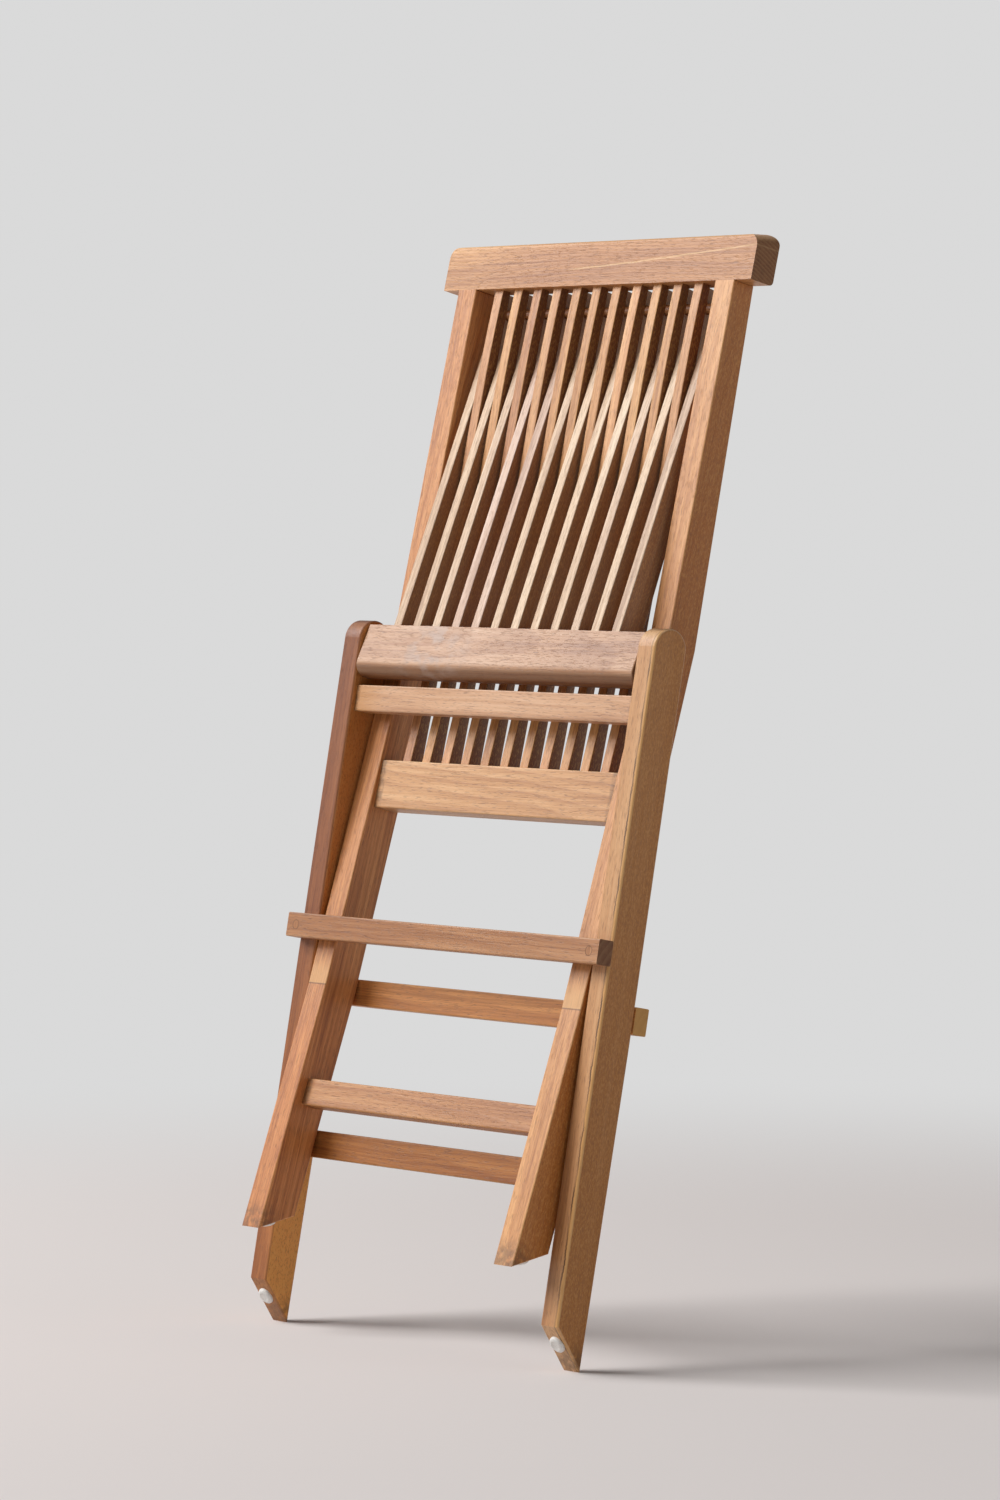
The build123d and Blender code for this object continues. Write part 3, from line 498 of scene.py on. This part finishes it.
paleVein = colour(0.80, 0.52, 0.25)
darkVein = colour(0.22, 0.080, 0.026)
planks = {
    "crest_rail": dict(
        lean=leans["back"], across=True, shift=1.3, figure=0.25, heart=(0.075, -0.03, 0.0),
        ringWidth=0.0036, slope=(0.02, 0.0, 0.0), tint=(0.95, 0.92, 0.92),
        fade=((-0.235, (1.2, 1.34, 1.44)), (-0.05, (0.97, 0.96, 0.95))),
        veins=((-0.004, 0.055, 0.06, 0.0011, -0.05, 0.24, paleVein),
               (0.004, 0.01, 0.0, 0.0008, -0.23, -0.06, darkVein))),
    "left_stile": dict(
        lean=leans["stile"], shift=2.1, tint=(1.06, 0.94, 0.86), streaks=0.36,
        fade=((-0.30, (1.0, 0.92, 0.84)), (-0.24, (1.0, 1.0, 1.0))), bend=bendMark["height"]),
    "right_stile": dict(
        lean=leans["stile"], shift=3.4, tint=(1.14, 1.14, 1.18), flankTintAndShade=(0.34, 0.095, 0.005),
        fade=((-0.37, (1.09, 1.10, 1.06)), (-0.20, (1.0, 1.0, 1.0))), bend=bendMark["height"]),
    "lower_back_rail": dict(
        lean=leans["back"], across=True, shift=4.2, figure=0.42, heart=(0.035, 0.02, 0.0),
        slope=(0.06, 0.02, 0.0), ringWidth=0.0085, tint=(1.13, 1.30, 1.65), joint=0.173),
    "inner_stretcher": dict(
        lean=leans["foot"], across=True, shift=5.7, tint=(0.86, 0.80, 0.78), joint=0.173),
    "left_outer_leg": dict(
        lean=leans["leg"], shift=6.6, tint=(0.50, 0.35, 0.29), flankTintAndShade=(0.64, 0.25, 0.060),
        fade=((-0.22, (1.42, 1.55, 1.35)), (0.12, (1.0, 1.0, 1.0)))),
    "right_outer_leg": dict(
        lean=leans["leg"], shift=7.5, figure=0.12, streaks=0.18, tint=(1.05, 1.16, 1.42),
        flankTintAndShade=(0.36, 0.120, 0.006)),
    "top_bar": dict(
        lean=leans["leg"], across=True, shift=8.1, figure=0.16, streaks=0.16,
        tint=(1.11, 1.35, 2.10), warm=-0.205, joint=0.2075),
    "front_bar": dict(
        lean=leans["leg"], across=True, shift=9.4, tint=(0.78, 0.75, 0.86),
        veins=((0.0, 0.0, 0.0, 0.0007, -0.05, 0.24, darkVein),)),
    "rear_bar": dict(
        lean=leans["leg"], across=True, shift=10.2, tint=(1.30, 1.26, 1.15), paleEnd=0.75),
    "rear_stretcher": dict(
        lean=leans["leg"], across=True, shift=11.6, tint=(0.80, 0.68, 0.50), joint=0.2075),
    "seat_front_rail": dict(
        lean=leans["seat"], across=True, shift=12.5, figure=0.42, heart=(-0.01, 0.045, 0.0),
        slope=(0.10, 0.05, 0.0), ringWidth=0.0065, tint=(0.95, 1.06, 1.42),
        fade=((-0.12, (1.0, 1.08, 1.28)), (0.10, (0.87, 0.86, 0.90))),
        # the darker underside of the nose is painted shade
        nose=(0.40, 0.29, 0.20), knot=(0.0, 0.0, -0.095)),
    "seat_rear_rod": dict(lean=leans["seat"], across=True, shift=13.1, tint=(0.5, 0.4, 0.34)),
    "front_bar_plugs": dict(
        lean=leans["leg"], shift=14.2, tint=(0.78, 0.75, 0.86), plugSide=0.2223),
    "rear_bar_plugs": dict(
        lean=leans["leg"], shift=15.2, tint=(1.12, 1.02, 0.95), plugSide=0.2223),
}
# feet and leg edges, read from the CAD
for node in ("left_stile", "right_stile", "left_outer_leg", "right_outer_leg"):
    corners = [vertex.co for vertex in frame["nodes"][node].data.vertices]
    planks[node]["foot"] = min(corners, key=lambda corner: corner.z)
legHalf = (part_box("right_outer_leg")[1][0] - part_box("right_outer_leg")[0][0]) / 2
planks["right_outer_leg"]["sawLine"] = legHalf - sawMark["fromEdge"]
for node, look in planks.items():
    low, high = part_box(node)
    dress(node, teakFor(node + "Teak", {"middle": (low + high) / 2, **look}))
print("planks dressed:", len(planks))


# turns a point or a direction into a piece's leaning frame: x across the chair, y to the back, z up
def leaning(lean):
    return Euler((math.radians(lean), 0.0, 0.0)).to_matrix()


# a node's lowest and highest corner in its leaning frame
def leaningBox(node, lean, pivot):
    turn = leaning(lean)
    corners = frame["nodes"][node].data.vertices
    points = np.array([turn @ (vertex.co - pivot) for vertex in corners])
    return points.min(axis=0), points.max(axis=0)


def startTree(name, sizes):
    tree = bpy.data.node_groups.new(name, "GeometryNodeTree")
    kinds = {int: "Int", float: "Float", Vector: "Vector"}
    keys = {}
    for label, value in sizes.items():
        socket = tree.interface.new_socket(label, in_out="INPUT",
                                           socket_type="NodeSocket" + kinds[type(value)])
        keys[label] = socket.identifier
    tree.interface.new_socket("Geometry", in_out="OUTPUT", socket_type="NodeSocketGeometry")
    return tree, keys, put(tree, "NodeGroupInput").outputs


def endTree(tree, shape, material):
    real = put(tree, "GeometryNodeRealizeInstances", {0: shape})
    painted = put(tree, "GeometryNodeSetMaterial", {"Geometry": real.outputs[0], "Material": material})
    put(tree, "NodeGroupOutput", {"Geometry": painted.outputs[0]})


# runs a tree once and keeps the result as a plain mesh
def growPiece(name, tree, keys, sizes):
    seedObject = addObject(name + "Seed", bpy.data.meshes.new(name + "Seed"))
    modifier = seedObject.modifiers.new("grow", "NODES")
    modifier.node_group = tree
    for label, value in sizes.items():
        modifier[keys[label]] = value
    seedObject.modifiers.new("shading", "WEIGHTED_NORMAL").keep_sharp = True
    state = bpy.context.evaluated_depsgraph_get()
    mesh = bpy.data.meshes.new_from_object(seedObject.evaluated_get(state), depsgraph=state)
    bpy.data.objects.remove(seedObject)
    mesh.name = name
    return addObject(name, mesh)


# path and section of a bar that stands on z from foot to top, with rounded long edges
def roundedBar(tree, given, look):
    line = put(tree, "GeometryNodeCurvePrimitiveLine", {
        "Start": combine(tree, z=given["Foot"]), "End": combine(tree, z=given["Top"])})
    path = put(tree, "GeometryNodeResampleCurve", {"Curve": line.outputs[0], "Count": look["rows"]})
    section = put(tree, "GeometryNodeCurvePrimitiveQuadrilateral", {
        "Width": given["Width"], "Height": given["Depth"]})
    softened = put(tree, "GeometryNodeFilletCurve", {
        "Curve": section.outputs[0], "Count": look["edgeSteps"], "Radius": given["Edge round"]},
        mode="POLY")
    return path.outputs[0], softened.outputs[0]


def sweep(tree, path, section):
    return put(tree, "GeometryNodeCurveToMesh", {"Curve": path, "Profile Curve": section,
                                                 "Fill Caps": True}).outputs[0]


# lowest and highest draw for each slat's timber, and what is added to the seed
timberDraws = {"timberShift": (0.0, 60.0, 0.0), "timberTone": (0.0, 1.0, 7.0)}


# copies of one slat side by side, each with its own piece of timber, leaned into place
def layRow(tree, given, slat):
    place = put(tree, "GeometryNodeInputPosition").outputs[0]
    kept = put(tree, "GeometryNodeStoreNamedAttribute", {
        "Geometry": slat, "Name": "grainPlace", "Value": place},
        data_type="FLOAT_VECTOR", domain="POINT")
    gaps = minus(tree, given["Count"], 1.0)
    first = times(tree, gaps, times(tree, given["Pitch"], -0.5))
    spots = put(tree, "GeometryNodeMeshLine", {
        "Count": given["Count"], "Start Location": combine(tree, first),
        "Offset": combine(tree, given["Pitch"])})
    shape = put(tree, "GeometryNodeInstanceOnPoints", {
        "Points": spots.outputs[0], "Instance": kept.outputs[0]}).outputs[0]
    for label, (low, high, extra) in timberDraws.items():
        seed = calc(tree, "ADD", given["Seed"], extra)
        chance = put(tree, "FunctionNodeRandomValue", {2: low, 3: high, "Seed": seed},
                     data_type="FLOAT")
        shape = put(tree, "GeometryNodeStoreNamedAttribute", {
            "Geometry": shape, "Name": label, "Value": chance.outputs[1]},
            data_type="FLOAT", domain="INSTANCE").outputs[0]
    smooth = put(tree, "GeometryNodeSetShadeSmooth", {"Geometry": shape})
    tilt = combine(tree, times(tree, given["Lean"], -math.pi / 180))
    return put(tree, "GeometryNodeTransform", {
        "Geometry": smooth.outputs[0], "Translation": given["Pivot"], "Rotation": tilt}).outputs[0]


# moves each point of a bar to the back by its own amount
def pushBack(tree, bar, amount):
    return put(tree, "GeometryNodeSetPosition", {
        "Geometry": bar, "Offset": combine(tree, y=amount)}).outputs[0]


# sizes that both rows have, read from the first two slats
def rowSizes(nodes, look, lean, pivot):
    low, high = leaningBox(nodes[0], lean, pivot)
    nextLow = leaningBox(nodes[1], lean, pivot)[0]
    sizes = {
        "Count": len(nodes), "Pitch": float(nextLow[0] - low[0]), "Width": float(high[0] - low[0]),
        "Edge round": look["edgeRound"], "Lean": lean, "Pivot": pivot, "Seed": look["seed"],
    }
    return sizes, low, high


# back slats: flat rear, a front that swells under the crest rail and hollows lower down
backSlat = {"tenon": 0.014, "into": 0.0015, "edgeRound": 0.0011, "edgeSteps": 4, "rows": 64,
            "steps": 25, "frontFacing": -0.97, "slack": 0.0001, "digits": 5, "seed": 5}


# the line of a slat's front in its leaning frame, without the tenons: heights and depths
def frontLine(node, look, lean, pivot):
    turn = leaning(lean)
    mesh = frame["nodes"][node].data
    depths = {}
    for face in mesh.polygons:
        if (turn @ face.normal).y < look["frontFacing"]:
            for corner in face.vertices:
                point = turn @ (mesh.vertices[corner].co - pivot)
                height = round(point.z, look["digits"])
                depths[height] = min(point.y, depths.get(height, point.y))
    low = min(depths) + look["tenon"] - look["slack"]
    high = max(depths) - look["tenon"] + look["slack"]
    heights = sorted(height for height in depths if low < height < high)
    return heights, [depths[height] for height in heights]


def growBackSlats(look, material):
    nodes = sorted(name for name in frame["nodes"] if name.startswith("back_slat_"))
    sizes, low, high = rowSizes(nodes, look, leans["back"], legPivot)
    hidden = look["tenon"] - look["into"]
    foot, top = low[2] + hidden, high[2] - hidden
    shares = np.linspace(0.0, 1.0, look["steps"])
    front = frontLine(nodes[0], look, leans["back"], legPivot)
    fronts = np.interp(top + shares * (foot - top), *front)
    swell = fronts.max() - fronts.min()
    sizes |= {"Depth": float(high[1] - fronts.max()), "Foot": float(foot), "Top": float(top),
              "Rear": float(high[1]), "Swell": float(swell)}
    tree, keys, given = startTree("backSlatRow", sizes)
    bar = sweep(tree, *roundedBar(tree, given, look))
    place = separate(tree, put(tree, "GeometryNodeInputPosition").outputs[0])
    middle = minus(tree, given["Rear"], times(tree, given["Depth"], 0.5))
    length = minus(tree, given["Top"], given["Foot"])
    share = calc(tree, "DIVIDE", minus(tree, given["Top"], place[2]), length)
    contour = put(tree, "ShaderNodeFloatCurve", {"Value": share})
    points = contour.mapping.curves[0].points
    spots = list(zip(shares, (fronts.max() - fronts) / swell))
    points[0].location, points[1].location = spots[0], spots[-1]
    for spot in spots[1:-1]:
        points.new(*spot)
    for point in points:
        point.handle_type = "VECTOR"
    contour.mapping.update()
    isFront = calc(tree, "LESS_THAN", place[1], 0.0)
    forward = times(tree, contour.outputs[0], given["Swell"], isFront)
    shaped = pushBack(tree, bar, minus(tree, middle, forward))
    endTree(tree, layRow(tree, given, shaped), material)
    piece = growPiece("backSlats", tree, keys, sizes)
    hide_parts(*nodes)
    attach(piece, "back_frame")


# seat slats: straight top, underside rising to the back, rounded rear end
seatSlat = {"railRear": 0.012, "into": 0.0015, "rearDepth": 0.019, "endRound": 0.005,
            "edgeRound": 0.0011, "edgeSteps": 4, "rows": 44, "crowding": 2.2, "seed": 11}


def growSeatSlats(look, material):
    nodes = sorted(name for name in frame["nodes"] if name.startswith("seat_slat_"))
    sizes, low, high = rowSizes(nodes, look, leans["seat"], seatPivot)
    sizes |= {"Depth": float(high[1] - low[1]), "Rear depth": look["rearDepth"],
              "End round": look["endRound"], "Foot": look["railRear"] - look["into"],
              "Top": float(high[2]), "Seat top": float(low[1])}
    tree, keys, given = startTree("seatSlatRow", sizes)
    path, section = roundedBar(tree, given, look)
    length = minus(tree, given["Top"], given["Foot"])
    # rows crowd towards the rounded end
    along = put(tree, "GeometryNodeSplineParameter").outputs["Factor"]
    left = calc(tree, "POWER", minus(tree, 1.0, along), look["crowding"])
    height = minus(tree, given["Top"], times(tree, left, length))
    crowded = put(tree, "GeometryNodeSetPosition", {
        "Geometry": path, "Position": combine(tree, z=height)})
    bar = sweep(tree, crowded.outputs[0], section)
    place = separate(tree, put(tree, "GeometryNodeInputPosition").outputs[0])
    middle = calc(tree, "MULTIPLY_ADD", given["Depth"], 0.5, given["Seat top"])
    share = calc(tree, "DIVIDE", minus(tree, place[2], given["Foot"]), length)
    rise = times(tree, share, minus(tree, given["Depth"], given["Rear depth"]))
    # quarter rounds at the end, above and below
    past = calc(tree, "ADD", given["End round"], minus(tree, place[2], given["Top"]))
    past = calc(tree, "MAXIMUM", 0.0, past)
    chord = minus(tree, calc(tree, "POWER", given["End round"], 2.0), calc(tree, "POWER", past, 2.0))
    chord = calc(tree, "SQRT", calc(tree, "MAXIMUM", chord, 0.0))
    inset = minus(tree, given["End round"], chord)
    isUnder = calc(tree, "GREATER_THAN", place[1], 0.0)
    side = calc(tree, "MULTIPLY_ADD", isUnder, -2.0, 1.0)
    offset = minus(tree, times(tree, side, inset), times(tree, isUnder, rise))
    shaped = pushBack(tree, bar, calc(tree, "ADD", middle, offset))
    endTree(tree, layRow(tree, given, shaped), material)
    piece = growPiece("seatSlats", tree, keys, sizes)
    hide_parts(*nodes)
    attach(piece, "seat")


slatTeak = {
    # the back slats' dark sides are painted shade, for the deep shade between the slats
    "back": dict(lean=leans["back"], figure=0.2, tint=(1.04, 1.06, 1.06), flankTintAndShade=(0.14, 0.042, 0.010),
                 flankTintAndShadeShare=0.85),
    # the seat slats' tint lifts green and blue: a painted pale sheen, for the light's reflection on their faces
    "seat": dict(lean=leans["seat"], figure=0.2, tint=(1.17, 1.72, 3.05), flankTintAndShade=(0.27, 0.107, 0.040)),
}
growBackSlats(backSlat, teakFor("backSlatTeak", slatTeak["back"], rows=True))
growSeatSlats(seatSlat, teakFor("seatSlatTeak", slatTeak["seat"], rows=True))
print("slats grown")

# nailed foot glides: round buttons of white plastic with a shallow dish
glide = {
    "radius": 0.0088, "height": 0.0040, "dish": 0.0007, "into": 0.0006, "segments": 40,
    "fullness": 0.55, "crown": 0.6,  # powers below 1 fill a ball out into a button
    "dishEdges": (0.42, 0.62, 1.0, 0.0), "underside": -0.05, "leastRadius": 0.0001,
    "white": colour(0.78, 0.77, 0.74), "scuffed": colour(0.56, 0.53, 0.48),
    "scuff": (420.0, 4.0, 0.65), "grit": (2600.0, 1.0), "wornEdges": (0.52, 0.70, 0.0, 0.7),
    "roughness": (0.35, 0.65, 0.32, 0.55), "wornDepth": -0.6,
    "bump": {"strength": 0.3, "distance": 0.0001},
}


def makeGlidePlastic(look):
    material, tree, shader = startPaint("glidePlastic")
    place = put(tree, "ShaderNodeTexCoord").outputs["Object"]
    scuff = noise(tree, place, *look["scuff"])[0]
    grit = noise(tree, place, *look["grit"])[0]
    worn = ease(tree, scuff, *look["wornEdges"])
    paint = blendColours(tree, worn, look["white"], look["scuffed"])
    relief = calc(tree, "MULTIPLY_ADD", worn, look["wornDepth"], grit)
    gloss = ease(tree, scuff, *look["roughness"])
    finishPaint(tree, shader, paint, gloss, relief, look["bump"])
    return material


def growGlides(name, look, node, body, mount, material):
    spot, axis = Vector(mount["pos_m"]), Vector(mount["axis"]).normalized()
    seat = spot - axis * look["height"]
    sizes = {
        "Radius": look["radius"], "Height": look["height"], "Dish": look["dish"],
        "Into": look["into"], "Segments": look["segments"], "Apart": float(2 * abs(seat.x)),
        "Seat": Vector((0.0, seat.y, seat.z)), "Axis": axis,
    }
    tree, keys, given = startTree(name + "Pair", sizes)
    ball = put(tree, "GeometryNodeMeshUVSphere", {
        "Segments": given["Segments"], "Rings": given["Segments"], "Radius": 1.0})
    place = put(tree, "GeometryNodeInputPosition").outputs[0]
    x, y, z = separate(tree, place)
    out = vectorCalc(tree, "LENGTH", vectorCalc(tree, "MULTIPLY", place, levelOnly))
    out = calc(tree, "MAXIMUM", out, look["leastRadius"])
    full = calc(tree, "POWER", out, look["fullness"])
    wide = times(tree, calc(tree, "DIVIDE", full, out), given["Radius"])
    above = calc(tree, "POWER", calc(tree, "MAXIMUM", z, 0.0), look["crown"])
    above = times(tree, above, given["Height"])
    dish = times(tree, ease(tree, full, *look["dishEdges"]), given["Dish"])
    dish = times(tree, dish, calc(tree, "GREATER_THAN", z, 0.0))
    below = times(tree, calc(tree, "LESS_THAN", z, look["underside"]), given["Into"])
    tall = minus(tree, minus(tree, above, dish), below)
    spread = combine(tree, times(tree, x, wide), times(tree, y, wide), tall)
    button = put(tree, "GeometryNodeSetPosition", {"Geometry": ball.outputs[0], "Position": spread})
    step = combine(tree, given["Apart"])
    first = vectorCalc(tree, "SUBTRACT", given["Seat"], vectorCalc(tree, "MULTIPLY", step, halves))
    pair = put(tree, "GeometryNodeMeshLine", {"Count": 2, "Start Location": first, "Offset": step})
    turn = put(tree, "FunctionNodeAlignRotationToVector", {"Vector": given["Axis"]}, axis="Z")
    copies = put(tree, "GeometryNodeInstanceOnPoints", {
        "Points": pair.outputs[0], "Instance": button.outputs[0], "Rotation": turn.outputs[0]})
    smooth = put(tree, "GeometryNodeSetShadeSmooth", {"Geometry": copies.outputs[0]})
    endTree(tree, smooth.outputs[0], material)
    piece = growPiece(name, tree, keys, sizes)
    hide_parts(node)
    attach(piece, body)


glidePlastic = makeGlidePlastic(glide)
footMounts = {mount["name"]: mount for mount in frame["record"]["mounts"]}
growGlides("frontGlides", glide, "inner_foot_glides", "back_frame",
           footMounts["right_front_foot"], glidePlastic)
growGlides("rearGlides", glide, "outer_foot_glides", "leg_frame",
           footMounts["right_rear_foot"], glidePlastic)
print("glides grown")

# turned steel of the pins, washers and screws
steel = {
    "bright": colour(0.62, 0.61, 0.59), "dull": colour(0.40, 0.38, 0.35),
    "rings": (3000.0, 160.0, 160.0), "ringDetail": 2.0, "haze": (260.0, 4.0),
    "dullEdges": (0.42, 0.66), "roughness": (0.3, 0.7, 0.24, 0.46),
    "bump": {"strength": 0.25, "distance": 0.00005},
}


def makeSteel(look):
    material, tree, shader = startPaint("turnedSteel")
    shader.inputs["Metallic"].default_value = 1.0
    place = put(tree, "ShaderNodeTexCoord").outputs["Object"]
    stretched = vectorCalc(tree, "MULTIPLY", place, look["rings"])
    rings = noise(tree, stretched, 1.0, look["ringDetail"])[0]
    haze = noise(tree, place, *look["haze"])[0]
    paint = blendColours(tree, ease(tree, haze, *look["dullEdges"]), look["bright"], look["dull"])
    gloss = ease(tree, haze, *look["roughness"])
    finishPaint(tree, shader, paint, gloss, rings, look["bump"])
    return material


turnedSteel = makeSteel(steel)
for node in frame["nodes"]:
    if node.endswith(("_pin", "_washer", "_screws")):
        dress(node, turnedSteel)
print("steel dressed")

# camera where the picture was taken from
camera = {"fromLegPivot": (4.4688, -3.7249, 0.4711), "aim": (-0.763, 0.644, -0.044),
          "lens": 144.0, "sensor": 36.0, "clipEnd": 100.0}
cameraData = bpy.data.cameras.new("camera")
cameraData.lens = camera["lens"]
cameraData.sensor_fit = "VERTICAL"
cameraData.sensor_height = camera["sensor"]
cameraData.sensor_width = camera["sensor"]
cameraData.clip_end = camera["clipEnd"]
cameraObject = addObject("camera", cameraData)
cameraObject.location = legPivot + Vector(camera["fromLegPivot"])
cameraObject.rotation_euler = Vector(camera["aim"]).to_track_quat("-Z", "Y").to_euler()
bpy.context.scene.camera = cameraObject

# a large soft light from the front left, a weak one from the right, and an even pale surround
light = {"surround": 0.09, "backdrop": 0.70, "aim": Vector((0.0, 0.0, 0.45))}
lamps = {
    "softbox": {"from": (-0.55, -0.56, 0.616), "distance": 8.0, "size": 5.0, "power": 780.0},
    "rightFill": {"from": (0.95, 0.15, 0.18), "distance": 3.2, "size": 2.4, "power": 13.0},
}
for name, look in lamps.items():
    lampData = bpy.data.lights.new(name, "AREA")
    lampData.shape = "SQUARE"
    lampData.size = look["size"]
    lampData.energy = look["power"]
    lamp = addObject(name, lampData)
    lamp.location = light["aim"] + Vector(look["from"]).normalized() * look["distance"]
    lamp.rotation_euler = (light["aim"] - lamp.location).to_track_quat("-Z", "Y").to_euler()

world = bpy.data.worlds.new("surround")
bpy.context.scene.world = world
world.use_nodes = True
worldTree = world.node_tree
worldTree.nodes.clear()
rays = put(worldTree, "ShaderNodeLightPath").outputs
seen = calc(worldTree, "MAXIMUM", rays["Is Camera Ray"], rays["Is Glossy Ray"])
seen = calc(worldTree, "MAXIMUM", seen, rays["Is Transmission Ray"])
strength = put(worldTree, "ShaderNodeMix", {0: seen, 2: light["surround"], 3: light["backdrop"]})
background = put(worldTree, "ShaderNodeBackground", {"Color": colour(1, 1, 1),
                                                     "Strength": strength.outputs[0]})
put(worldTree, "ShaderNodeOutputWorld", {"Surface": background.outputs[0]})

# floor that fades into the backdrop
ground = {"half": 9.0, "tint": colour(0.80, 0.745, 0.725), "roughness": 0.9, "fade": (0.9, 2.6)}
floorMesh = bpy.data.meshes.new("floor")
half = ground["half"]
floorCorners = [(-half, -half, 0), (half, -half, 0), (half, half, 0), (-half, half, 0)]
floorMesh.from_pydata(floorCorners, [], [(0, 1, 2, 3)])
floor = addObject("floor", floorMesh)
floorPaint, paintTree, paintShader = startPaint("floorPaint")
fill(paintTree, paintShader, {"Roughness": ground["roughness"], "Base Color": ground["tint"]})
floorPlace = put(paintTree, "ShaderNodeTexCoord").outputs["Object"]
away = ease(paintTree, vectorCalc(paintTree, "LENGTH", floorPlace), *ground["fade"])
glow = put(paintTree, "ShaderNodeEmission", {"Color": colour(1, 1, 1), "Strength": light["backdrop"]})
mixed = put(paintTree, "ShaderNodeMixShader", {0: away, 1: paintShader.outputs[0], 2: glow.outputs[0]})
fill(paintTree, paintTree.nodes["Material Output"], {0: mixed.outputs[0]})
floorMesh.materials.append(floorPaint)
print("light, floor and camera set")

bpy.context.scene.view_settings.view_transform = "Standard"
